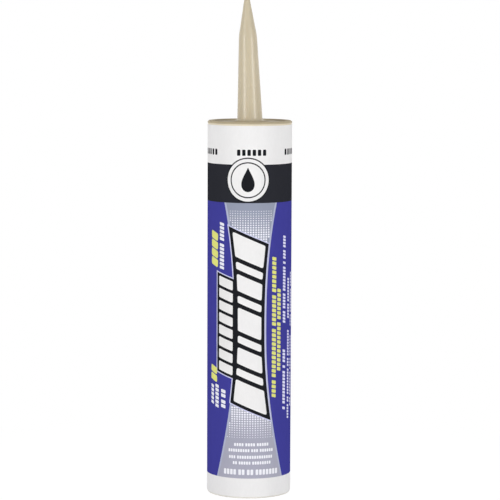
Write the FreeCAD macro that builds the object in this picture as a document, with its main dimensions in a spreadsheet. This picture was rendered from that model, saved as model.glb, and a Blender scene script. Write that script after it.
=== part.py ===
import FreeCAD, Part
import math
import os

import Sketcher
from FreeCAD import Placement, Rotation, Vector

# A sealant cartridge that stands on its open rear rim: a wound board barrel with a printed
# paper wrap, a moulded front plate with its tapered nozzle, the foil seal under the nozzle's
# throat, the sealant, and the plunger that pushes it forward.
# Millimetres and degrees. The origin is the centre of the rear rim, +Z points to the nozzle.

DRIVING_SIZES = [
    # barrel
    ("tube_length", 216.0, "board barrel, rear rim to front rim"),
    ("tube_diameter", 48.46, "outside of the board"),
    ("tube_wall", 1.13, "board wall"),
    ("rim_bevel", 0.25, "worn edges of the rear rim"),
    # paper wrap
    ("paper", 0.12, "thickness of the printed wrap"),
    ("glue_line", 0.1, "glue between board and wrap"),
    ("wrap_setback", 0.9, "bare board at each end of the wrap"),
    ("lap_width", 7.0, "where the wrap's ends overlap, at the back"),
    # front plate
    ("flange_height", 1.25, "flange above the barrel's front rim"),
    ("flange_bevel", 0.7, "bevel of the flange's outer edge"),
    ("bead_width", 2.2, "flat bead round the plate"),
    ("dish_depth", 0.8, "how far the web lies under the bead"),
    ("dish_slope", 0.9, "width of the slope at both sides of the dish"),
    ("web_thickness", 1.4, "web under the dish"),
    ("hub_width", 2.6, "flat land round the nozzle's foot"),
    ("spigot_length", 9.0, "plug inside the barrel"),
    ("spigot_wall", 1.4, "wall of the plug, behind its ridges"),
    ("spigot_fit", 0.05, "radial clearance between ridges and barrel"),
    ("ridge_height", 0.3, "barbed ridges on the plug"),
    ("ridge_setback", 0.8, "first ridge below the flange"),
    ("ridge_ramp", 1.6, "slope at the rear of a ridge"),
    ("ridge_pitch", 2.7, "from one ridge to the next"),
    # nozzle
    ("nozzle_length", 71.0, "tip above the flange"),
    ("nozzle_foot", 14.65, "diameter at the plate"),
    ("nozzle_knee", 10.4, "diameter where the taper gets steeper"),
    ("nozzle_tip", 2.7, "diameter at the closed tip"),
    ("knee_height", 48.6, "knee above the flange"),
    ("nozzle_wall", 1.4, "wall up to the knee"),
    ("tip_bore", 1.4, "diameter at the bore's closed end"),
    ("tip_wall", 2.2, "solid tip that is cut off before use"),
    ("nozzle_lean", 1.6, "degrees that the moulding leans to -X"),
    ("foot_flare", 1.5, "hollow flare between nozzle and plate"),
    ("foot_sunk", 0.3, "how deep the flare's rim lies in the plate, so that no side lifts off"),
    ("knee_round", 30.0, "radius of the bend in the outline at the knee"),
    ("tip_round", 0.8, "rounding of the tip"),
    # foil seal
    ("foil", 0.15, "thickness of the seal"),
    ("foil_margin", 3.0, "seal beyond the throat's edge"),
    # plunger
    ("plunger_setback", 7.5, "plunger's rear edge inside the rear rim"),
    ("plunger_length", 20.0, "skirt, rear edge to shoulder"),
    ("plunger_wall", 1.5, "wall and floor of the plunger"),
    ("lip_fit", 0.06, "radial clearance between lips and barrel"),
    ("lip_height", 2.4, "flat part of a wiper lip"),
    ("lip_ramp", 0.8, "slope behind a lip"),
    ("lip_relief", 0.45, "skirt inside the lips"),
    ("nose_height", 7.5, "nose above the shoulder"),
    ("nose_foot_gap", 0.7, "radial gap between nose foot and plug"),
    ("nose_taper", 1.8, "how much the nose narrows, on the radius"),
    ("boss_diameter", 9.0, "boss in the middle of the ribs"),
    ("rib_level", 8.0, "ribs and boss inside the plunger's rear edge"),
    ("rib_thickness", 1.2, "one rib"),
    ("rib_count", 4, "ribs round the boss"),
    # sealant
    ("film", 0.1, "gap round the sealant"),
]


class Size:
    """A length with the sheet formula that gives it, so that features can be bound to it."""

    def __init__(self, value, formula):
        self.value = float(value)
        self.formula = formula

    @staticmethod
    def of(other):
        return other if isinstance(other, Size) else Size(other, str(other))

    def join(self, other, sign, value):
        return Size(value, "(%s %s %s)" % (self.formula, sign, other.formula))

    def __add__(self, other):
        other = Size.of(other)
        return self.join(other, "+", self.value + other.value)

    def __sub__(self, other):
        other = Size.of(other)
        return self.join(other, "-", self.value - other.value)

    def __mul__(self, other):
        other = Size.of(other)
        return self.join(other, "*", self.value * other.value)

    def __truediv__(self, other):
        other = Size.of(other)
        return self.join(other, "/", self.value / other.value)

    def __neg__(self):
        return Size(-self.value, "(-1 * %s)" % self.formula)


class Sizes:
    """The driving sizes of the sheet, each under its alias."""


def fill_sheet(doc):
    """Writes the driving sizes into the document's sheet and returns them by name."""
    sheet = doc.addObject("Spreadsheet::Sheet", "sizes")
    for row, (name, value, meaning) in enumerate(DRIVING_SIZES, start=1):
        sheet.set("A%d" % row, name)
        sheet.set("B%d" % row, str(value))
        sheet.set("C%d" % row, meaning)
        sheet.setAlias("B%d" % row, name)
    doc.recompute()
    sizes = Sizes()
    for name, value, meaning in DRIVING_SIZES:
        setattr(sizes, name, Size(sheet.get(name), "sizes.%s" % name))
    return sizes


def derive(s):
    """Sizes that several pieces share, worked out from the driving ones."""
    s.tube_r = s.tube_diameter / 2
    s.bore_r = s.tube_r - s.tube_wall
    s.wrap_r = s.tube_r + s.glue_line + s.paper
    s.plate_r = s.wrap_r
    s.spigot_r = s.bore_r - s.spigot_fit
    s.spigot_core_r = s.spigot_r - s.ridge_height
    s.spigot_inner_r = s.spigot_core_r - s.spigot_wall
    s.web_under = s.flange_height - s.dish_depth - s.web_thickness
    s.throat_r = s.nozzle_foot / 2 - s.nozzle_wall
    s.nose_foot_r = s.spigot_inner_r - s.nose_foot_gap
    s.nose_top_r = s.nose_foot_r - s.nose_taper
    s.shoulder_z = s.plunger_setback + s.plunger_length
    s.nose_z = s.shoulder_z + s.nose_height
    s.seal_z = s.tube_length + s.web_under - s.foil


# Sketches and features

ZERO = Size(0, "0")

# share of a quarter arc's radius at which its middle lies from each of its two tangents
ARC_MIDDLE = 1 - math.sqrt(0.5)


def origin_feature(body, role):
    return next(feature for feature in body.Origin.OriginFeatures if feature.Role == role)


def new_body(doc, label):
    body = doc.addObject("PartDesign::Body", label)
    body.Label = label
    return body


def sketch_on(body, name, plane):
    sketch = body.newObject("Sketcher::SketchObject", name)
    sketch.AttachmentSupport = [(origin_feature(body, plane), "")]
    sketch.MapMode = "FlatFace"
    return sketch


def place_point(item, across, along):
    """Constraints, each with its formula, that place an item's start at two sizes."""
    rules = []
    for kind, size, axis in (("DistanceX", across, -2), ("DistanceY", along, -1)):
        if size is ZERO:
            rules.append((Sketcher.Constraint("PointOnObject", item, 1, axis), None))
        else:
            rules.append((Sketcher.Constraint(kind, -1, 1, item, 1, size.value), size.formula))
    return rules


def outline(body, name, plane, corners):
    """A closed outline of (across, along) corners; a rounded corner has its radius as well."""
    sketch = sketch_on(body, name, plane)
    count = len(corners)
    points = [Vector(across.value, along.value, 0) for across, along, *rest in corners]
    rounds = {i: corner[2] for i, corner in enumerate(corners) if len(corner) == 3}
    bends = {i: bend_points(points, i, radius.value) for i, radius in rounds.items()}
    for i in range(count):
        following = (i + 1) % count
        start = bends[i][2] if i in bends else points[i]
        end = bends[following][0] if following in bends else points[following]
        sketch.addGeometry(Part.LineSegment(start, end), False)
    rules = []
    for i, (across, along, *rest) in enumerate(corners):
        before = (i - 1) % count
        if i in bends:
            mark = sketch.addGeometry(Part.Point(points[i]), True)
            rules += place_point(mark, across, along)
            rules += join_by_arc(sketch, before, i, mark, bends[i], rounds[i])
        else:
            rules.append((Sketcher.Constraint("Coincident", before, 2, i, 1), None))
            rules += place_point(i, across, along)
    sketch.addConstraint([constraint for constraint, formula in rules])
    for index, (constraint, formula) in enumerate(rules):
        if formula:
            sketch.setExpression("Constraints[%d]" % index, formula)
    return sketch


def bend_points(points, i, radius):
    """Start, middle and end of the arc that rounds corner i."""
    corner = points[i]
    back = (points[i - 1] - corner).normalize()
    ahead = (points[(i + 1) % len(points)] - corner).normalize()
    inward = (back + ahead).normalize()
    half = back.getAngle(ahead) / 2
    reach = radius / math.tan(half)
    depth = radius / math.sin(half) - radius
    return corner + back * reach, corner + inward * depth, corner + ahead * reach


def join_by_arc(sketch, before, after, mark, bend, radius):
    """Joins two lines by a tangent arc; both lines point at the mark, where they would meet."""
    arc = sketch.addGeometry(Part.ArcOfCircle(*bend), False)
    runs_forward = sketch.getPoint(arc, 1).distanceToPoint(bend[0]) < 1e-6
    first, last = (1, 2) if runs_forward else (2, 1)
    return [
        (Sketcher.Constraint("Tangent", before, 2, arc, first), None),
        (Sketcher.Constraint("Tangent", arc, last, after, 1), None),
        (Sketcher.Constraint("PointOnObject", mark, 1, before), None),
        (Sketcher.Constraint("PointOnObject", mark, 1, after), None),
        (Sketcher.Constraint("Radius", arc, radius.value), radius.formula),
    ]


def lean_sketch(sketch, s):
    """Turns a sketch by the nozzle's lean about the middle of the flange's top."""
    sketch.AttachmentOffset = Placement(
        Vector(0, s.flange_height.value, 0), Rotation(Vector(0, 0, 1), s.nozzle_lean.value)
    )
    sketch.setExpression(".AttachmentOffset.Base.y", s.flange_height.formula)
    sketch.setExpression(".AttachmentOffset.Rotation.Angle", s.nozzle_lean.formula)


def turn(body, kind, name, sketch):
    """Revolves an outline about its sketch's own upright axis."""
    feature = body.newObject(kind, name)
    feature.Profile = sketch
    feature.ReferenceAxis = (sketch, ["V_Axis"])
    feature.Angle = 360
    body.Document.recompute()
    return feature


def raise_body(body, height):
    body.Placement = Placement(Vector(0, 0, height.value), Rotation())
    body.setExpression(".Placement.Base.z", height.formula)


# Pieces

def make_barrel(doc, s):
    """The board tube, open at the rear."""
    body = new_body(doc, "barrel")
    bevel = s.rim_bevel
    wall = outline(
        body,
        "barrel_wall",
        "XZ_Plane",
        [
            (s.bore_r, bevel),
            (s.bore_r + bevel, ZERO),
            (s.tube_r - bevel, ZERO),
            (s.tube_r, bevel),
            (s.tube_r, s.tube_length),
            (s.bore_r, s.tube_length),
        ],
    )
    turn(body, "PartDesign::Revolution", "barrel_tube", wall)
    return body


def make_label(doc, s):
    """The paper wrap, one turn round the barrel, with its ends lapped at the back."""
    body = new_body(doc, "label")
    inner_r = s.tube_r + s.glue_line
    low = s.wrap_setback
    high = s.tube_length - s.wrap_setback
    turn_once = outline(
        body,
        "wrap_section",
        "YZ_Plane",
        [(inner_r, low), (s.wrap_r, low), (s.wrap_r, high), (inner_r, high)],
    )
    turn(body, "PartDesign::Revolution", "wrap", turn_once)
    middle_r = inner_r + s.paper / 2
    lap_r = s.wrap_r + s.paper
    lap_section = outline(
        body,
        "lap_section",
        "YZ_Plane",
        [(middle_r, low), (lap_r, low), (lap_r, high), (middle_r, high)],
    )
    lap = turn(body, "PartDesign::Revolution", "lap", lap_section)
    lap.Midplane = True
    lap_angle = s.lap_width / s.wrap_r * (180 / math.pi)
    lap.Angle = lap_angle.value
    lap.setExpression("Angle", lap_angle.formula)
    doc.recompute()
    return body


def ridge_corners(s, count=2):
    """The plug's ridges, from the flange down: upright at the front, sloped at the rear."""
    corners = []
    for i in range(count):
        top = -(s.ridge_setback + s.ridge_pitch * i)
        corners += [
            (s.spigot_core_r, top),
            (s.spigot_r, top),
            (s.spigot_core_r, top - s.ridge_ramp),
        ]
    return corners


def make_nozzle(doc, s):
    """The moulded front: flanged plate with a dished web, ridged plug and hollow nozzle."""
    body = new_body(doc, "nozzle")
    web_top = s.flange_height - s.dish_depth
    hub_r = s.nozzle_foot / 2 + s.hub_width
    bead_r = s.plate_r - s.bead_width
    plug_end = -s.spigot_length
    plate = outline(
        body,
        "plate_section",
        "XZ_Plane",
        [
            (ZERO, s.flange_height),
            (hub_r, s.flange_height),
            (hub_r + s.dish_slope, web_top),
            (bead_r - s.dish_slope, web_top),
            (bead_r, s.flange_height),
            (s.plate_r - s.flange_bevel, s.flange_height),
            (s.plate_r, s.flange_height - s.flange_bevel),
            (s.plate_r, ZERO),
            (s.spigot_core_r, ZERO),
        ]
        + ridge_corners(s)
        + [
            (s.spigot_core_r, plug_end),
            (s.spigot_inner_r, plug_end),
            (s.spigot_inner_r, s.web_under),
            (ZERO, s.web_under),
        ],
    )
    turn(body, "PartDesign::Revolution", "plate", plate)

    foot_r = s.nozzle_foot / 2
    knee_r = s.nozzle_knee / 2
    tip_r = s.nozzle_tip / 2
    root = s.dish_depth + s.web_thickness / 2
    flare_top = s.foot_flare - s.foot_sunk
    flare_r = foot_r - (foot_r - knee_r) / s.knee_height * flare_top
    flare_middle = s.foot_flare * ARC_MIDDLE
    rim_r = flare_r + s.foot_flare
    cone = outline(
        body,
        "nozzle_section",
        "XZ_Plane",
        [
            (ZERO, -root),
            (rim_r, -root),
            (rim_r, -s.foot_sunk),
            (flare_r + flare_middle, flare_middle - s.foot_sunk),
            (flare_r, flare_top),
            (knee_r, s.knee_height, s.knee_round),
            (tip_r, s.nozzle_length, s.tip_round),
            (ZERO, s.nozzle_length),
        ],
    )
    lean_sketch(cone, s)
    turn(body, "PartDesign::Revolution", "nozzle_cone", cone)

    through = -(s.dish_depth + s.web_thickness * 2)
    bore_end = s.nozzle_length - s.tip_wall
    bore = outline(
        body,
        "bore_section",
        "XZ_Plane",
        [
            (ZERO, through),
            (s.throat_r, through),
            (s.throat_r, ZERO),
            (knee_r - s.nozzle_wall, s.knee_height),
            (s.tip_bore / 2, bore_end),
            (ZERO, bore_end),
        ],
    )
    lean_sketch(bore, s)
    before = body.Shape.Volume
    turn(body, "PartDesign::Groove", "nozzle_bore", bore)
    if body.Shape.Volume > 0.95 * before:
        raise ValueError("nozzle_bore cuts nothing")
    raise_body(body, s.tube_length)
    return body


def make_inner_seal(doc, s):
    """The foil disc that closes the throat from inside until it is pierced."""
    body = new_body(doc, "inner_seal")
    radius = s.throat_r + s.foil_margin
    section = outline(
        body,
        "foil_section",
        "XZ_Plane",
        [(ZERO, ZERO), (radius, ZERO), (radius, s.foil), (ZERO, s.foil)],
    )
    turn(body, "PartDesign::Revolution", "foil_disc", section)
    raise_body(body, s.seal_z)
    return body


def make_sealant(doc, s):
    """The filling, from the plunger's nose to the foil seal and the plug's inside."""
    body = new_body(doc, "sealant")
    plug_r = s.spigot_inner_r - s.film
    plug_z = s.tube_length - s.spigot_length - s.film
    side_r = s.bore_r - s.film
    section = outline(
        body,
        "sealant_section",
        "XZ_Plane",
        [
            (ZERO, s.seal_z - s.film),
            (plug_r, s.seal_z - s.film),
            (plug_r, plug_z),
            (side_r, plug_z),
            (side_r, s.shoulder_z + s.film),
            (s.nose_foot_r + s.film, s.shoulder_z + s.film),
            (s.nose_top_r + s.film, s.nose_z + s.film),
            (ZERO, s.nose_z + s.film),
        ],
    )
    turn(body, "PartDesign::Revolution", "sealant_column", section)
    return body


def make_plunger(doc, s):
    """The moulded cup: two wiper lips, a tapered nose and a cross of ribs round a boss."""
    body = new_body(doc, "plunger")
    lip_r = s.bore_r - s.lip_fit
    skirt_r = lip_r - s.lip_relief
    cup_r = skirt_r - s.plunger_wall
    boss_r = s.boss_diameter / 2
    wall = s.plunger_wall
    front = s.plunger_length
    nose = s.plunger_length + s.nose_height
    section = outline(
        body,
        "cup_section",
        "XZ_Plane",
        [
            (cup_r, ZERO),
            (lip_r, ZERO),
            (lip_r, s.lip_height),
            (skirt_r, s.lip_height + s.lip_ramp),
            (skirt_r, front - s.lip_height - s.lip_ramp),
            (lip_r, front - s.lip_height),
            (lip_r, front),
            (s.nose_foot_r, front),
            (s.nose_top_r, nose),
            (ZERO, nose),
            (ZERO, s.rib_level),
            (boss_r, s.rib_level),
            (boss_r, nose - wall),
            (s.nose_top_r - wall, nose - wall),
            (s.nose_foot_r - wall, front - wall),
            (cup_r, front - wall),
        ],
    )
    turn(body, "PartDesign::Revolution", "cup", section)

    deep = wall / 2
    rib_section = outline(
        body,
        "rib_section",
        "XZ_Plane",
        [
            (boss_r - deep, s.rib_level),
            (cup_r + deep, s.rib_level),
            (cup_r + deep, front - deep),
            (s.nose_foot_r - deep, front - deep),
            (s.nose_top_r - deep, nose - deep),
            (boss_r - deep, nose - deep),
        ],
    )
    rib = body.newObject("PartDesign::Pad", "rib")
    rib.Profile = rib_section
    rib.SideType = "Symmetric"
    rib.Length = s.rib_thickness.value
    rib.setExpression("Length", s.rib_thickness.formula)
    doc.recompute()
    before = body.Shape.Volume
    star = body.newObject("PartDesign::PolarPattern", "rib_cross")
    star.Originals = [rib]
    star.Axis = (origin_feature(body, "Z_Axis"), [""])
    star.Angle = 360
    star.Occurrences = int(s.rib_count.value)
    star.setExpression("Occurrences", s.rib_count.formula)
    body.Tip = star
    doc.recompute()
    if body.Shape.Volume <= before:
        raise ValueError("rib_cross adds nothing")
    raise_body(body, s.plunger_setback)
    return body


def check(doc, bodies):
    """Stops if a feature failed or a piece is not one valid solid."""
    for item in doc.Objects:
        if "Invalid" in item.State or "Error" in item.State:
            raise RuntimeError("%s failed: %s" % (item.Name, item.State))
    for body in bodies:
        if body.Shape.isNull() or not body.Shape.isValid() or len(body.Shape.Solids) != 1:
            raise RuntimeError("%s is not one valid solid" % body.Label)


def main():
    doc = FreeCAD.newDocument("cartridge")
    sizes = fill_sheet(doc)
    derive(sizes)
    makers = (make_barrel, make_label, make_nozzle, make_inner_seal, make_sealant, make_plunger)
    bodies = [make(doc, sizes) for make in makers]
    doc.recompute()
    check(doc, bodies)
    os.makedirs("parts", exist_ok=True)
    for body in bodies:
        body.Shape.exportStep("parts/%s.step" % body.Label)
        box = body.Shape.BoundBox
        print("%-12s z %7.2f to %7.2f  volume %9.1f mm3" % (body.Label, box.ZMin, box.ZMax, body.Shape.Volume))


main()
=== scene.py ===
import math

import bpy
from mathutils import Matrix, Vector
from mathutils.geometry import delaunay_2d_cdt


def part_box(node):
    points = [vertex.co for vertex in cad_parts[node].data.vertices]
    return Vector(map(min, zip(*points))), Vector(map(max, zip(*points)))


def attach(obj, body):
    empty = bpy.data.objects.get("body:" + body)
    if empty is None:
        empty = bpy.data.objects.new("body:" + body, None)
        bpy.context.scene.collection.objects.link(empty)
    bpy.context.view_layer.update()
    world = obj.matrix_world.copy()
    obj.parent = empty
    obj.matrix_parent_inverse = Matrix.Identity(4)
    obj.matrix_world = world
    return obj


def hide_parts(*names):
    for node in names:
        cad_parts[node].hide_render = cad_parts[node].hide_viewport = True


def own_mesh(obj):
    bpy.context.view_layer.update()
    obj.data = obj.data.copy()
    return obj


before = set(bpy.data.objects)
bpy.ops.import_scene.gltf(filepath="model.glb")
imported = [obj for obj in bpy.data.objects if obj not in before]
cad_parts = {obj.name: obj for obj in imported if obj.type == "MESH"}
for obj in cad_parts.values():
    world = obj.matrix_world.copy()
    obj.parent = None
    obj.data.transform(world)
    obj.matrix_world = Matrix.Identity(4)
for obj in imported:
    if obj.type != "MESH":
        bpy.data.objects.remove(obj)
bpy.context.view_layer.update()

# The cartridge stands on z = 0 with its axis on Z. -Y is the front of the print.
# Lengths of the print are millimetres on the unrolled wrap: s runs round the barrel from the
# front's middle towards +X, and z is the height above the table.

MM = 0.001


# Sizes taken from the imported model

def node_box(name):
    """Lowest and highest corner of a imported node, in millimetres."""
    low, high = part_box(name)
    return low / MM, high / MM


WRAP_LOW, WRAP_HIGH = node_box("label")
WRAP_R = WRAP_HIGH.x
LAP_R = WRAP_HIGH.y
PAPER = LAP_R - WRAP_R
WRAP_INNER_R = WRAP_R - PAPER
BOTTOM, TOP = WRAP_LOW.z, WRAP_HIGH.z
HALF_TURN = math.pi * WRAP_R
LAP_HALF = 3.5


# Colours of print, board and plastics, as sRGB 0 to 255

def rgb(red, green, blue):
    """An sRGB colour as the linear one that shaders take."""
    channels = []
    for value in (red, green, blue):
        share = value / 255
        channels.append(share / 12.92 if share <= 0.04045 else ((share + 0.055) / 1.055) ** 2.4)
    return (*channels, 1.0)


WHITE = rgb(239, 238, 238)
CHARCOAL = rgb(45, 46, 52)
BLACK = rgb(33, 34, 38)
VIOLET = rgb(68, 67, 154)
SILVER_TOP = rgb(142, 151, 171)
SILVER_LOW = rgb(176, 175, 191)
PALE_EDGE = rgb(180, 185, 209)
PANEL_LINE = rgb(205, 206, 236)
BRIGHT = rgb(239, 239, 248)
LIME = rgb(228, 229, 130)
FINE_WHITE = rgb(224, 224, 248)
SOFT_WHITE = rgb(243, 243, 250)
TAN = rgb(201, 189, 163)
# Darker tan for the end plate round the nozzle: painted shade on the same plastic as the nozzle.
PLATE_TAN_PAINTED_SHADE = rgb(184, 170, 142)
NATURAL = rgb(226, 227, 222)
PASTE = rgb(205, 192, 164)
FOIL = rgb(214, 215, 218)
LINER_LOW = rgb(230, 228, 222)
# Warmer liner colour at the top: painted reflection of the tan end plate.
LINER_TOP_PAINTED_REFLECTION = rgb(228, 217, 194)
PLY_BOARD = rgb(204, 196, 180)
KRAFT = rgb(172, 146, 112)
KRAFT_SEAM = rgb(112, 92, 70)


# Shader helpers

class Shader:
    """A material with a Principled shader and short calls for the nodes around it."""

    def __init__(self, name):
        self.material = bpy.data.materials.new(name)
        self.material.use_nodes = True
        self.nodes = self.material.node_tree.nodes
        self.links = self.material.node_tree.links
        self.shader = self.nodes["Principled BSDF"]
        self.place = self.nodes.new("ShaderNodeTexCoord").outputs["Object"]

    def put(self, **values):
        for name, value in values.items():
            self.shader.inputs[name.replace("_", " ")].default_value = value

    def feed(self, socket, source):
        self.links.new(source, self.shader.inputs[socket])

    def node(self, kind, inputs=None, **settings):
        node = self.nodes.new(kind)
        for name, value in settings.items():
            setattr(node, name, value)
        for name, value in (inputs or {}).items():
            if isinstance(value, bpy.types.NodeSocket):
                self.links.new(value, node.inputs[name])
            else:
                node.inputs[name].default_value = value
        return node

    def math(self, operation, first, second=0.0):
        return self.node("ShaderNodeMath", {0: first, 1: second}, operation=operation).outputs[0]

    def stretched(self, scale):
        """Object coordinates in units of 1 / scale metres, one number for each axis."""
        node = self.node("ShaderNodeMapping", {"Vector": self.place, "Scale": scale})
        return node.outputs["Vector"]

    def noise(self, scale, detail=2.0, rough=0.5):
        node = self.node(
            "ShaderNodeTexNoise",
            {"Vector": self.stretched(scale), "Scale": 1.0, "Detail": detail, "Roughness": rough},
        )
        return node.outputs["Fac"]

    def ramp(self, value, first, last, low=0.0, high=1.0):
        """Maps first to last onto low to high, and stays level outside."""
        node = self.node(
            "ShaderNodeMapRange",
            {"Value": value, "From Min": first, "From Max": last, "To Min": low, "To Max": high},
        )
        return node.outputs["Result"]

    def grey(self, value):
        return self.node("ShaderNodeCombineColor", {0: value, 1: value, 2: value}).outputs[0]

    def mix(self, share, first, second, blend="MIX"):
        node = self.node("ShaderNodeMix", data_type="RGBA", blend_type=blend)
        for socket, value in ((0, share), (6, first), (7, second)):
            if isinstance(value, bpy.types.NodeSocket):
                self.links.new(value, node.inputs[socket])
            else:
                node.inputs[socket].default_value = value
        return node.outputs[2]

    def bump(self, height, distance, strength=1.0):
        node = self.node(
            "ShaderNodeBump", {"Height": height, "Distance": distance, "Strength": strength}
        )
        self.links.new(node.outputs["Normal"], self.shader.inputs["Normal"])

    def radius(self):
        """Distance from the axis of the part, in metres."""
        axes = self.node("ShaderNodeSeparateXYZ", {0: self.place}).outputs
        across = self.math("MULTIPLY", axes["X"], axes["X"])
        along = self.math("MULTIPLY", axes["Y"], axes["Y"])
        return self.math("SQRT", self.math("ADD", across, along))

    def shades(self, colour, share, spread):
        """The colour made lighter and darker by a share that runs round 0.5."""
        light = self.ramp(share, 0.0, 1.0, 1.0 - spread, 1.0 + spread)
        return self.mix(1.0, colour, self.grey(light), "MULTIPLY")


# Materials

def print_material(name, colour, rough=0.6, gloss=0.0, low=None):
    """Ink or bare white on the paper wrap; low gives a second colour for the wrap's foot."""
    ink = Shader(name)
    if low:
        height = ink.node("ShaderNodeSeparateXYZ", {0: ink.place}).outputs["Z"]
        colour = ink.mix(ink.ramp(height, BOTTOM * MM, TOP * MM), low, colour)
    fibres = ink.noise((900, 900, 350), detail=3.0, rough=0.6)
    clouds = ink.noise((55, 55, 30))
    mottled = ink.shades(colour, clouds, 0.03)
    ink.feed("Base Color", ink.shades(mottled, fibres, 0.035))
    ink.feed("Roughness", ink.ramp(fibres, 0.0, 1.0, rough - 0.06, rough + 0.06))
    ink.put(Specular_IOR_Level=gloss)
    ink.bump(fibres, 0.00002)
    return ink.material


def board_material(inside, outside):
    """Wound board between two radii in millimetres: pale liner outside, warmer towards the top as
    a painted reflection of the tan end plate, plies on the cut rims, brown kraft inside."""
    wind_pitch, seam_share = 0.085, 0.012
    ply_count, ply_line_share = 4.0, 0.18
    bore_share, liner_share, level_slope = 0.08, 0.93, 0.35
    reflection_foot, reflection_top = 0.02, TOP * MM

    board = Shader("wound_board")
    axes = board.node("ShaderNodeSeparateXYZ", {0: board.place}).outputs
    depth = board.ramp(board.radius(), inside * MM, outside * MM)

    turn = board.math("ARCTAN2", axes["Y"], axes["X"])
    climb = board.math("DIVIDE", axes["Z"], wind_pitch)
    wind = board.math("ADD", climb, board.math("DIVIDE", turn, 2 * math.pi))
    seam = board.ramp(board.math("FRACT", wind), 0.0, seam_share, 1.0, 0.0)

    fibres = board.noise((700, 700, 260), detail=4.0, rough=0.65)
    specks = board.noise((160, 160, 120), detail=5.0, rough=0.7)
    plies = board.math("FRACT", board.math("MULTIPLY", depth, ply_count))
    ply_line = board.grey(board.ramp(plies, 0.0, ply_line_share, 0.82, 1.0))
    rim = board.mix(1.0, PLY_BOARD, ply_line, "MULTIPLY")
    kraft = board.mix(seam, KRAFT, KRAFT_SEAM)
    # The liner warms from the foot to the top of the wrap: painted reflection of the tan end
    # plate.
    liner = board.mix(board.ramp(axes["Z"], reflection_foot, reflection_top), LINER_LOW, LINER_TOP_PAINTED_REFLECTION)

    up = board.node("ShaderNodeNewGeometry").outputs["Normal"]
    steep = board.math("ABSOLUTE", board.node("ShaderNodeSeparateXYZ", {0: up}).outputs["Z"])
    on_bore = board.math("LESS_THAN", depth, bore_share)
    on_liner = board.math("GREATER_THAN", depth, liner_share)
    level = board.math("GREATER_THAN", steep, level_slope)
    colour = board.mix(level, board.mix(on_bore, liner, kraft), rim)
    colour = board.shades(colour, fibres, 0.07)
    board.feed("Base Color", board.shades(colour, specks, 0.05))
    board.feed("Roughness", board.ramp(on_liner, 0.0, 1.0, 0.62, 0.55))
    board.put(Specular_IOR_Level=0.25)
    height = board.math("SUBTRACT", fibres, board.math("MULTIPLY", seam, on_bore))
    board.bump(height, 0.00006)
    return board.material


def plastic_material(name, colour, rough, gloss, glow, flow=0.03, outer=None):
    """Moulded plastic with flow clouds and a fine skin; outer gives a radius, what adds to the
    roughness outside it, and a darker colour there that is painted shade."""
    part = Shader(name)
    clouds = part.noise((30, 30, 14), detail=3.0)
    skin = part.noise((1400, 1400, 900), detail=2.0)
    dull = part.ramp(clouds, 0.0, 1.0, rough - 0.04, rough + 0.04)
    if outer:
        radius, more, shade_tint = outer
        fade = 0.6
        outside = part.ramp(part.radius(), radius * MM, (radius + fade) * MM)
        dull = part.math("ADD", dull, part.math("MULTIPLY", outside, more))
        # Past the radius the colour turns to the darker one: painted shade.
        colour = part.mix(outside, colour, shade_tint)
    part.feed("Base Color", part.shades(colour, clouds, flow))
    part.feed("Roughness", dull)
    part.put(
        Specular_IOR_Level=gloss,
        Subsurface_Weight=glow,
        Subsurface_Radius=(0.004, 0.003, 0.002),
        Subsurface_Scale=0.6,
    )
    part.bump(skin, 0.000012)
    return part.material


def foil_material():
    """Rolled foil with fine lines and a few soft creases."""
    foil = Shader("rolled_foil")
    lines = foil.noise((90, 4000, 90), detail=2.0)
    creases = foil.noise((260, 260, 260), detail=3.0)
    foil.feed("Base Color", foil.shades(FOIL, lines, 0.05))
    foil.feed("Roughness", foil.ramp(lines, 0.0, 1.0, 0.26, 0.4))
    foil.put(Metallic=1.0)
    foil.bump(foil.math("ADD", creases, foil.math("MULTIPLY", lines, 0.15)), 0.0002)
    return foil.material


def sealant_material():
    """Thick tan paste: smooth and moist, with faint streaks from filling."""
    paste = Shader("sealant_paste")
    streaks = paste.noise((120, 120, 18), detail=4.0)
    lumps = paste.noise((420, 420, 300), detail=2.0)
    paste.feed("Base Color", paste.shades(PASTE, streaks, 0.04))
    paste.feed("Roughness", paste.ramp(lumps, 0.0, 1.0, 0.24, 0.36))
    paste.put(
        Specular_IOR_Level=0.5,
        Subsurface_Weight=0.2,
        Subsurface_Radius=(0.003, 0.002, 0.0015),
        Subsurface_Scale=0.6,
    )
    paste.bump(lumps, 0.00008)
    return paste.material


# The print, as outlines on the unrolled wrap

def box_shape(left, low, right, high):
    return [(left, low), (right, low), (right, high), (left, high)]


def rounded(corners, radius, steps=3):
    """The outline with every corner rounded."""
    points = []
    count = len(corners)
    for i in range(count):
        corner = Vector(corners[i])
        back = (Vector(corners[i - 1]) - corner).normalized()
        ahead = (Vector(corners[(i + 1) % count]) - corner).normalized()
        half = back.angle(ahead) / 2
        reach = radius / math.tan(half)
        first, last = corner + back * reach, corner + ahead * reach
        for step in range(steps + 1):
            share = step / steps
            bend = first * (1 - share) ** 2 + corner * 2 * share * (1 - share) + last * share ** 2
            points.append((bend.x, bend.y))
    return points


def ring(centre_s, centre_z, radius, count=56):
    return [
        (
            centre_s + radius * math.cos(2 * math.pi * i / count),
            centre_z + radius * math.sin(2 * math.pi * i / count),
        )
        for i in range(count)
    ]


def squircle(centre_s, centre_z, half_s, half_z, power, count=16):
    """A dot that goes from round, at power 2, to nearly square."""
    points = []
    for i in range(count):
        angle = 2 * math.pi * (i + 0.5) / count
        across, along = math.cos(angle), math.sin(angle)
        size = (abs(across) ** power + abs(along) ** power) ** (-1 / power)
        points.append((centre_s + half_s * size * across, centre_z + half_z * size * along))
    return points


def drop_shape(centre_s, foot_z, radius, height, count=48):
    """A falling drop: round below, drawn out to a point above."""
    points = []
    for i in range(count):
        angle = 2 * math.pi * i / count
        pinch = (1 + math.cos(angle)) / 2
        across = radius * math.sin(angle) * (1 - 0.9 * pinch ** 1.5)
        points.append((centre_s + across, foot_z + height * pinch))
    return points[::-1]


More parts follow.
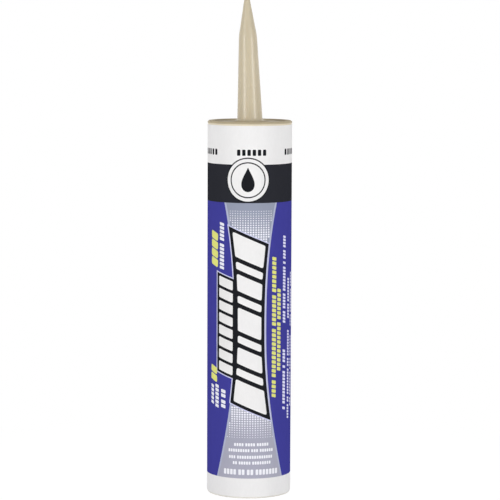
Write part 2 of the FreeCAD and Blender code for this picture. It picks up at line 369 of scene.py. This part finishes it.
class Waist:
    """The silver field of the front: narrow in the middle, wider to both ends."""

    middle = 0.75
    waist_z = 97.0
    waist_half = 9.35
    top_z = 171.1
    foot_z = 11.6
    top_spread, top_power = 6.8, 2.6
    foot_spread, foot_power = 12.1, 2.1

    def half(self, z):
        if z > self.waist_z:
            share = (z - self.waist_z) / (self.top_z - self.waist_z)
            return self.waist_half + self.top_spread * share ** self.top_power
        share = (self.waist_z - z) / (self.waist_z - self.foot_z)
        return self.waist_half + self.foot_spread * share ** self.foot_power

    def left(self, z):
        return self.middle - self.half(z)

    def right(self, z):
        return self.middle + self.half(z)

    def outline(self, inset=0.0, steps=32):
        levels = [self.foot_z + (self.top_z - self.foot_z) * i / steps for i in range(steps + 1)]
        right = [(self.right(z) - inset, z) for z in levels]
        left = [(self.left(z) + inset, z) for z in reversed(levels)]
        return right + left


class Panel:
    """A dark panel between two curved sides, with slanted ends."""

    def __init__(self, left, right, low, high, slant):
        self.left, self.right = left, right
        self.low, self.high = low, high
        self.slope = math.tan(math.radians(slant))
        self.about = (left(high) + right(high)) / 2

    def side(self, edge, level, shift):
        """Where a slanted line at a level meets a side moved by shift."""
        s = edge(level) + shift
        for _ in range(3):
            s = edge(self.level_at(s, level)) + shift
        return s, self.level_at(s, level)

    def level_at(self, s, level):
        return level - (s - self.about) * self.slope

    def band(self, low, high, inset, steps=1):
        """The part between two slanted levels, inset from both sides."""
        levels = [low + (high - low) * i / steps for i in range(steps + 1)]
        right = [self.side(self.right, level, -inset) for level in levels]
        left = [self.side(self.left, level, inset) for level in reversed(levels)]
        return right + left

    def body(self, grow=0.0):
        return self.band(self.low - grow, self.high + grow, -grow, steps=14)


WHITE_TO_CHARCOAL = 193.0
CHARCOAL_TO_VIOLET = 171.1
VIOLET_TO_WHITE = 11.6


def bands(sheet):
    """The fields of colour that go right round."""
    left, right = sheet
    return [
        ("white", box_shape(left, BOTTOM, right, TOP)),
        ("charcoal", box_shape(left, CHARCOAL_TO_VIOLET, right, WHITE_TO_CHARCOAL)),
        ("violet", box_shape(left, VIOLET_TO_WHITE, right, CHARCOAL_TO_VIOLET)),
    ]


def swatch_rows():
    """Small dark tiles in the white band, five times round the barrel."""
    tile, gap, count, corner = 1.95, 1.05, 6, 0.5
    low, high = 198.1, 201.6
    repeats = 5
    front_middle = 1.1
    shapes = []
    for turn in range(repeats):
        middle = front_middle + 2 * HALF_TURN / repeats * (turn - repeats // 2)
        start = middle - (tile * count + gap * (count - 1)) / 2
        for i in range(count):
            left = start + i * (tile + gap)
            shapes.append(("black", rounded(box_shape(left, low, left + tile, high), corner)))
    return shapes


def roundel():
    """A plain white disc with a drop on it, on the charcoal band."""
    middle, height = -1.0, 184.2
    rims = [("black", 12.9), ("white", 12.2), ("black", 10.3), ("white", 9.6)]
    drop_foot, drop_radius, drop_height = 177.4, 4.9, 14.0
    shapes = [(colour, ring(middle, height, radius)) for colour, radius in rims]
    shapes.append(("black", drop_shape(middle, drop_foot, drop_radius, drop_height)))
    return shapes


def halftone(field, inset):
    """White dots on the silver field that grow towards its middle, from above and below."""
    pitch_s, pitch_z = 1.52, 1.335
    runs = [
        {"small": 166.4, "large": 153.0, "end": 146.0},
        {"small": 35.6, "large": 49.0, "end": 60.0},
    ]
    least, most = 0.36, 0.73
    spare_columns = 0.3
    shapes = []
    for run in runs:
        way = 1 if run["large"] > run["small"] else -1
        z = run["small"]
        while (run["end"] - z) * way > 0:
            share = min(1.0, (z - run["small"]) / (run["large"] - run["small"]))
            fill = least + (most - least) * share
            power = 2 + 3 * share
            columns = int((field.half(z) - inset) / pitch_s - spare_columns)
            for column in range(-columns, columns + 1):
                s = field.middle + column * pitch_s
                dot = squircle(s, z, pitch_s * fill / 2, pitch_z * fill / 2, power)
                shapes.append(("bright", dot))
            z += pitch_z * way
    return shapes


def bars_in(panel, shares, rim, gap, corner):
    """White bars one below the other that fill a panel up to its rim, high by their shares."""
    room = panel.high - panel.low - 2 * rim - gap * (len(shares) - 1)
    shapes = []
    z = panel.high - rim
    for share in shares:
        height = room * share / sum(shares)
        shapes.append(("white", rounded(panel.band(z - height, z, rim), corner)))
        z -= height + gap
    return shapes


def barred_panels(field):
    """Two dark panels that touch, with a pale line round both and white slanted bars."""
    line, left_edge, right_edge = 0.65, 0.1, 1.1
    large = Panel(
        lambda z: field.left(z) + left_edge,
        lambda z: field.right(z) - right_edge,
        low=50.8, high=152.3, slant=23.2,
    )
    small = Panel(lambda z: -20.7, lambda z: -8.2, low=71.4, high=128.9, slant=17.5)
    shapes = [("line", panel.body(grow=line)) for panel in (large, small)]
    shapes += [("black", panel.body()) for panel in (large, small)]

    thick, medium, thin = 13.4, 9.6, 4.2
    large_bars = (thick, thin, medium, thin, thick, thin, medium, thin, thick)
    shapes += bars_in(large, large_bars, rim=1.95, gap=2.6, corner=1.0)
    shapes += bars_in(small, (1,) * 8, rim=1.5, gap=1.7, corner=0.7)
    return shapes


def tick_column(colour, middle, width, top, words, tick, gap, space, lean=14.0):
    """Small blocks in groups, one above the other, in place of a line of print."""
    shapes = []
    z = top
    slope = math.tan(math.radians(lean)) * width / 2
    left, right = middle - width / 2, middle + width / 2
    corner = min(tick, width) * 0.22
    for count in words:
        for _ in range(count):
            low = z - tick
            foot = [(left, low + slope), (right, low - slope)]
            head = [(right, z - slope), (left, z + slope)]
            shapes.append((colour, rounded(foot + head, corner, steps=2)))
            z = low - gap
        z -= space
    return shapes


def tick_row(colour, level, height, start, words, tick, gap, space):
    """Small blocks in groups, side by side, in place of a line of print."""
    shapes = []
    s = start
    corner = min(tick, height) * 0.25
    for count in words:
        for _ in range(count):
            block = box_shape(s, level - height / 2, s + tick, level + height / 2)
            shapes.append((colour, rounded(block, corner, steps=2)))
            s += tick + gap
        s += space
    return shapes


def side_print():
    """Columns of blocks to the left and right of the front's panels."""
    # colour, middle, width, top, blocks in each group, block, gap, space between groups
    shapes = []
    shapes += tick_column("lime", -23.4, 6.2, 153.9, (4,), 4.5, 0.55, 0.0, lean=20)
    shapes += tick_column("bright", -17.2, 3.2, 159.4, (5, 7), 1.65, 0.5, 1.4)
    shapes += tick_column("lime", -23.8, 5.8, 75.9, (2,), 4.0, 0.6, 0.0, lean=20)
    shapes += tick_column("bright", -25.3, 2.8, 64.9, (5,), 1.8, 0.55, 0.0)
    shapes += tick_column("bright", -20.9, 2.9, 65.3, (6,), 1.8, 0.5, 0.0)
    shapes += tick_column("bright", -15.9, 3.2, 62.8, (2, 2), 2.0, 0.55, 1.0)
    shapes += tick_column("lime", 15.3, 2.9, 139.8, (8, 7, 11, 4), 2.0, 0.6, 1.3)
    shapes += tick_column("lime", 19.0, 2.8, 121.2, (7, 11), 2.0, 0.6, 1.3)
    shapes += tick_column("fine", 23.7, 2.6, 151.6, (4, 3, 1, 8, 5, 4), 1.35, 0.45, 1.2)
    shapes += tick_column("fine", 23.7, 2.6, 85.4, (4, 1, 10, 1), 1.5, 0.45, 1.4)
    shapes += tick_column("fine", 28.6, 2.3, 126.6, (8, 5), 1.35, 0.4, 1.0)
    shapes += tick_column("fine", 28.6, 2.3, 96.2, (9, 3, 9, 2, 5), 1.3, 0.4, 1.1)
    shapes += tick_column("fine", 33.0, 2.1, 129.8, (5, 8, 4), 1.35, 0.4, 1.1)
    shapes += tick_column("fine", 33.0, 2.1, 92.6, (7, 4, 8, 3), 1.35, 0.4, 1.1)
    return shapes


def foot_print():
    """Rows of blocks on the silver field's foot."""
    # colour, level, height, start, blocks in each group, block, gap, space between groups
    shapes = []
    shapes += tick_row("soft", 31.4, 1.8, -8.6, (4, 4, 5), 1.12, 0.36, 0.75)
    shapes += tick_row("soft", 28.0, 1.8, -12.1, (9, 3, 6), 1.08, 0.35, 0.7)
    shapes += tick_row("soft", 24.1, 1.8, -11.8, (3, 15), 1.08, 0.35, 0.7)
    shapes += tick_row("soft", 20.7, 1.8, -9.4, (2, 5, 8), 1.08, 0.36, 0.7)
    shapes += tick_row("soft", 15.3, 3.2, -15.2, (4, 2, 2, 7), 1.57, 0.5, 0.9)
    return shapes


def print_shapes(sheet):
    """All outlines of the print, from the lowest layer up."""
    field = Waist()
    border = 1.2
    shapes = bands(sheet)
    shapes.append(("pale", field.outline()))
    shapes.append(("silver", field.outline(inset=border)))
    shapes += halftone(field, border)
    shapes += roundel()
    shapes += swatch_rows()
    shapes += barred_panels(field)
    shapes += side_print()
    shapes += foot_print()
    return shapes


# The wrap as a mesh

def lap_radius(s):
    """Radius of the wrap's outside: it climbs over its own other end at the back."""
    climb = 1.2
    start = HALF_TURN - LAP_HALF - climb
    share = min(1.0, max(0.0, (s - start) / climb))
    return WRAP_R + PAPER * share * share * (3 - 2 * share)


def on_barrel(s, z, radius):
    angle = s / WRAP_R
    return (radius * math.sin(angle) * MM, -radius * math.cos(angle) * MM, z * MM)


def cut_sheet(sheet, shapes):
    """The flat sheet cut along all outlines, and into strips that are bent round the barrel.
    Gives its points, its faces and the colour of each face."""
    strips = 144
    points, edges, loops = [], [], []
    for _, outline in shapes:
        first = len(points)
        points += [Vector(point) for point in outline]
        loops.append(list(range(first, len(points))))
    for i in range(1, strips):
        s = sheet[0] + (sheet[1] - sheet[0]) * i / strips
        first = len(points)
        points += [Vector((s, BOTTOM)), Vector((s, TOP))]
        edges.append((first, first + 1))
    flat, _, faces, _, _, from_loops = delaunay_2d_cdt(points, edges, loops, 1, 1e-5)
    colours = [shapes[max(layers)][0] for layers in from_loops]
    return flat, [tuple(face) for face in faces], colours


def sheet_border(flat, axis, level):
    """The sheet's points on one border, in order along it."""
    picked = [i for i, p in enumerate(flat) if abs(p[axis] - level) < 1e-3]
    return sorted(picked, key=lambda i: flat[i][1 - axis])


def wrap_mesh(materials):
    """Rolls the cut sheet up and closes it with an inner side and edges of paper."""
    sheet = (-HALF_TURN + LAP_HALF, HALF_TURN + LAP_HALF)
    flat, polygons, colours = cut_sheet(sheet, print_shapes(sheet))
    outer = len(polygons)
    vertices = [on_barrel(p.x, p.y, lap_radius(p.x)) for p in flat]
    spots = list(flat)

    rims = []
    for level in (BOTTOM, TOP):
        rim = sheet_border(flat, 1, level)
        inner = list(range(len(vertices), len(vertices) + len(rim) - 1))
        vertices += [on_barrel(flat[i].x, flat[i].y, WRAP_INNER_R) for i in rim[:-1]]
        spots += [flat[i] for i in rim[:-1]]
        rims.append((rim, inner + inner[:1]))
    (lower, low), (upper, high) = rims
    for k in range(len(lower) - 1):
        polygons.append((lower[k + 1], lower[k], low[k], low[k + 1]))
    for k in range(len(upper) - 1):
        polygons.append((upper[k], upper[k + 1], high[k + 1], high[k]))
    for k in range(len(lower) - 1):
        polygons.append((low[k + 1], low[k], high[k], high[k + 1]))
    left, right = (sheet_border(flat, 0, place) for place in sheet)
    for k in range(len(left) - 1):
        polygons.append((right[k], left[k], left[k + 1], right[k + 1]))
    colours += ["paper"] * (len(polygons) - outer)

    mesh = bpy.data.meshes.new("printed_wrap")
    mesh.from_pydata(vertices, [], polygons)
    slots = {name: index for index, name in enumerate(materials)}
    for material in materials.values():
        mesh.materials.append(material)
    mesh.polygons.foreach_set("material_index", [slots[colour] for colour in colours])
    mesh.polygons.foreach_set("use_smooth", [True] * len(polygons))
    chart_wrap(mesh, sheet, spots, outer)
    mesh.update()
    mesh.set_sharp_from_angle(angle=math.radians(30))
    return mesh


def chart_wrap(mesh, sheet, spots, outer):
    """Lays the flat sheet over the bake chart, with all hidden faces in a strip above it."""
    border, sheet_width, sheet_height = 0.005, 0.99, 0.95
    strip_foot, strip_height = 0.97, 0.02
    chart = mesh.uv_layers.new(name="OFBake")
    for polygon in mesh.polygons:
        for corner in polygon.loop_indices:
            spot = spots[mesh.loops[corner].vertex_index]
            u = border + sheet_width * (spot.x - sheet[0]) / (sheet[1] - sheet[0])
            rise = (spot.y - BOTTOM) / (TOP - BOTTOM)
            if polygon.index < outer:
                v = border + sheet_height * rise
            else:
                v = strip_foot + strip_height * rise
            chart.data[corner].uv = (u, v)


def add_piece(name, mesh, body, replaced):
    piece = bpy.data.objects.new(name, mesh)
    bpy.context.scene.collection.objects.link(piece)
    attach(piece, body)
    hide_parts(replaced)
    return piece


def make_wrap():
    materials = {
        "white": print_material("print_white", WHITE),
        "charcoal": print_material("print_charcoal", CHARCOAL),
        "violet": print_material("print_violet", VIOLET),
        "pale": print_material("print_pale_edge", PALE_EDGE),
        "line": print_material("print_panel_line", PANEL_LINE),
        "silver": print_material("print_silver", SILVER_TOP, rough=0.45, low=SILVER_LOW),
        "bright": print_material("print_bright", BRIGHT),
        "black": print_material("print_black", BLACK),
        "lime": print_material("print_lime", LIME),
        "fine": print_material("print_fine_white", FINE_WHITE),
        "soft": print_material("print_soft_white", SOFT_WHITE),
        "paper": print_material("paper", WHITE),
    }
    add_piece("printed_wrap", wrap_mesh(materials), "cartridge", "label")


# The filling

def turned_mesh(name, profile, count=96):
    """A closed solid turned about Z from (radius, height) points, top to bottom, in mm."""
    vertices, polygons = [], []
    rows = []
    for radius, z in profile:
        if radius < 1e-6:
            rows.append([len(vertices)])
            vertices.append((0.0, 0.0, z * MM))
            continue
        rows.append(list(range(len(vertices), len(vertices) + count)))
        for i in range(count):
            angle = 2 * math.pi * i / count
            across, along = radius * math.cos(angle), radius * math.sin(angle)
            vertices.append((across * MM, along * MM, z * MM))
    for upper, lower in zip(rows, rows[1:]):
        for i in range(count):
            j = (i + 1) % count
            if len(upper) == 1:
                polygons.append((upper[0], lower[i], lower[j]))
            elif len(lower) == 1:
                polygons.append((upper[i], lower[0], upper[j]))
            else:
                polygons.append((upper[i], lower[i], lower[j], upper[j]))
    mesh = bpy.data.meshes.new(name)
    mesh.from_pydata(vertices, [], polygons)
    mesh.polygons.foreach_set("use_smooth", [True] * len(polygons))
    mesh.update()
    mesh.set_sharp_from_angle(angle=math.radians(35))
    return mesh


def sealant_profile():
    """From the seal down to the plunger's nose, with slightly rounded shoulders."""
    wall_gap, plug_gap, nose_gap = 0.05, 0.15, 0.1
    plug_inside, soft = 21.15, 0.8
    nose_top, nose_foot = 18.95, 20.75
    low, high = node_box("sealant")
    side = high.x - wall_gap
    plug_end = node_box("nozzle")[0].z - plug_gap
    hollow = node_box("plunger")[1].z + nose_gap
    return [
        (0.0, high.z),
        (plug_inside - soft, high.z),
        (plug_inside - soft * 0.3, high.z - soft * 0.3),
        (plug_inside, high.z - soft),
        (plug_inside, plug_end),
        (side - soft, plug_end),
        (side - soft * 0.3, plug_end - soft * 0.3),
        (side, plug_end - soft),
        (side, low.z),
        (nose_foot, low.z),
        (nose_top, hollow),
        (0.0, hollow),
    ]


def make_sealant():
    mesh = turned_mesh("sealant_filling", sealant_profile())
    mesh.materials.append(sealant_material())
    piece = add_piece("sealant_filling", mesh, "cartridge", "sealant")
    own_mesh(piece)


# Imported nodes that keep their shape

def paint(name, material):
    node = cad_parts[name]
    if not node.data.materials:
        node.data.materials.append(material)
    for slot in node.material_slots:
        slot.link = "OBJECT"
        slot.material = material


def paint_nodes():
    plunger_clearance = 0.06
    bore = node_box("plunger")[1].x + plunger_clearance
    paint("barrel", board_material(bore, node_box("barrel")[1].x))
    nozzle_foot, rougher = 8.4, 0.3
    # Past the nozzle's foot the end plate is rougher, and its darker tan is painted shade.
    plate = (nozzle_foot, rougher, PLATE_TAN_PAINTED_SHADE)
    paint("nozzle", plastic_material("tan_plastic", TAN, 0.27, 0.33, 0.12, outer=plate))
    paint("plunger", plastic_material("natural_plastic", NATURAL, 0.4, 0.4, 0.25))
    paint("inner_seal", foil_material())


# Floor, light and camera

FLOOR_RADIUS = 30.0
FLOOR_GREY = 0.85
NEAR_GLOW = 1.13
NEAR_SHARE = 0.82
SHADOW_RADIUS = 0.05
WHITE_RADIUS = 0.25


def soft_ramp(nodes, links, value, first, last, low, high):
    """Maps first to last onto low to high with soft ends."""
    node = nodes.new("ShaderNodeMapRange")
    node.interpolation_type = "SMOOTHSTEP"
    settings = {"From Min": first, "From Max": last, "To Min": low, "To Max": high}
    for name, number in settings.items():
        node.inputs[name].default_value = number
    links.new(value, node.inputs["Value"])
    return node.outputs["Result"]


def seen_directly(nodes, links):
    """1 for rays from the camera, a mirror or glass, and 0 for light."""
    path = nodes.new("ShaderNodeLightPath")
    total = path.outputs["Is Camera Ray"]
    for name in ("Is Glossy Ray", "Is Transmission Ray"):
        larger = nodes.new("ShaderNodeMath")
        larger.operation = "MAXIMUM"
        links.new(total, larger.inputs[0])
        links.new(path.outputs[name], larger.inputs[1])
        total = larger.outputs[0]
    return total


def make_floor():
    """A plain pale floor that keeps the shadow and turns white away from the cartridge."""
    mesh = bpy.data.meshes.new("floor")
    count = 64
    corners = [(x, y, 0.0) for x, y in ring(0.0, 0.0, FLOOR_RADIUS, count)]
    mesh.from_pydata(corners, [], [tuple(range(count))])
    floor = bpy.data.objects.new("floor", mesh)
    bpy.context.scene.collection.objects.link(floor)

    material = bpy.data.materials.new("pale_floor")
    material.use_nodes = True
    nodes, links = material.node_tree.nodes, material.node_tree.links
    nodes.clear()
    output = nodes.new("ShaderNodeOutputMaterial")
    matt = nodes.new("ShaderNodeBsdfDiffuse")
    matt.inputs["Color"].default_value = (FLOOR_GREY, FLOOR_GREY, FLOOR_GREY, 1)
    place = nodes.new("ShaderNodeTexCoord")
    reach = nodes.new("ShaderNodeVectorMath")
    reach.operation = "LENGTH"
    links.new(place.outputs["Object"], reach.inputs[0])

    def fade(near, far):
        distance = reach.outputs["Value"]
        return soft_ramp(nodes, links, distance, SHADOW_RADIUS, WHITE_RADIUS, near, far)

    glow = nodes.new("ShaderNodeEmission")
    links.new(fade(NEAR_GLOW, 1.0), glow.inputs["Strength"])
    share = nodes.new("ShaderNodeMath")
    share.operation = "MULTIPLY"
    links.new(seen_directly(nodes, links), share.inputs[0])
    links.new(fade(NEAR_SHARE, 1.0), share.inputs[1])
    mixed = nodes.new("ShaderNodeMixShader")
    links.new(share.outputs[0], mixed.inputs[0])
    links.new(matt.outputs[0], mixed.inputs[1])
    links.new(glow.outputs[0], mixed.inputs[2])
    links.new(mixed.outputs[0], output.inputs["Surface"])
    mesh.materials.append(material)


HORIZON_LIGHT = 0.46
ZENITH_LIGHT = 0.4
FADE_FOOT = 0.1
FADE_TOP = 0.5


def make_world():
    """Soft light all round, a little stronger near the horizon; white where it is seen."""
    world = bpy.data.worlds.new("studio")
    bpy.context.scene.world = world
    world.use_nodes = True
    nodes, links = world.node_tree.nodes, world.node_tree.links
    nodes.clear()
    output = nodes.new("ShaderNodeOutputWorld")
    lit = nodes.new("ShaderNodeBackground")
    white = nodes.new("ShaderNodeBackground")
    for light in (lit, white):
        light.inputs["Color"].default_value = (1, 1, 1, 1)
    white.inputs["Strength"].default_value = 1.0
    place = nodes.new("ShaderNodeTexCoord")
    axes = nodes.new("ShaderNodeSeparateXYZ")
    links.new(place.outputs["Generated"], axes.inputs[0])
    fade = soft_ramp(
        nodes, links, axes.outputs["Z"], FADE_FOOT, FADE_TOP, HORIZON_LIGHT, ZENITH_LIGHT
    )
    links.new(fade, lit.inputs["Strength"])
    mixed = nodes.new("ShaderNodeMixShader")
    links.new(seen_directly(nodes, links), mixed.inputs[0])
    links.new(lit.outputs[0], mixed.inputs[1])
    links.new(white.outputs[0], mixed.inputs[2])
    links.new(mixed.outputs[0], output.inputs["Surface"])


LAMP_AIM = Vector((0, 0, 0.14))


def make_lamp(name, turn, distance, height, width, tall, power, mirrored=True):
    """A soft box at a turn in degrees from the front, with sizes in metres and power in watts.
    The camera never sees it, and glossy surfaces show it only where it is mirrored."""
    angle = math.radians(turn)
    lamp = bpy.data.lights.new(name, "AREA")
    lamp.shape = "RECTANGLE"
    lamp.size = width
    lamp.size_y = tall
    lamp.energy = power
    holder = bpy.data.objects.new(name, lamp)
    bpy.context.scene.collection.objects.link(holder)
    holder.location = (distance * math.sin(angle), -distance * math.cos(angle), height)
    holder.visible_camera = False
    holder.visible_glossy = mirrored
    aim = LAMP_AIM - holder.location
    holder.rotation_euler = aim.to_track_quat("-Z", "Y").to_euler()


def make_lamps():
    """Broad boxes in front and behind, and two tall narrow ones that streak the nozzle."""
    # name, turn, distance, height, width, tall, power
    for side, name in ((-1, "left"), (1, "right")):
        make_lamp("box_front_" + name, 50 * side, 1.9, 0.36, 0.9, 0.7, 11.0)
        make_lamp("strip_front_" + name, 47 * side, 1.3, 0.32, 0.09, 0.6, 2.1)
    make_lamp("box_back", 180, 1.9, 0.36, 1.5, 0.7, 14.0, mirrored=False)


CAMERA_DISTANCE = 1.329
CAMERA_HEIGHT = 0.2792
CAMERA_PITCH = 5.904
CAMERA_PAN = -0.014
CAMERA_ROLL = 0.22
FOCUS_PIXELS = 2296.0
PICTURE_PIXELS = 500
SENSOR = 36.0


def make_camera():
    data = bpy.data.cameras.new("camera")
    data.sensor_fit = "HORIZONTAL"
    data.sensor_width = SENSOR
    data.lens = SENSOR * FOCUS_PIXELS / PICTURE_PIXELS
    data.clip_start, data.clip_end = 0.05, 100.0
    camera = bpy.data.objects.new("camera", data)
    bpy.context.scene.collection.objects.link(camera)
    camera.matrix_world = (
        Matrix.Translation((0, -CAMERA_DISTANCE, CAMERA_HEIGHT))
        @ Matrix.Rotation(math.radians(CAMERA_PAN), 4, "Z")
        @ Matrix.Rotation(math.radians(90 - CAMERA_PITCH), 4, "X")
        @ Matrix.Rotation(math.radians(CAMERA_ROLL), 4, "Z")
    )
    bpy.context.scene.camera = camera


make_camera()
make_wrap()
make_sealant()
paint_nodes()
make_floor()
make_world()
make_lamps()
bpy.context.scene.view_settings.view_transform = "Standard"
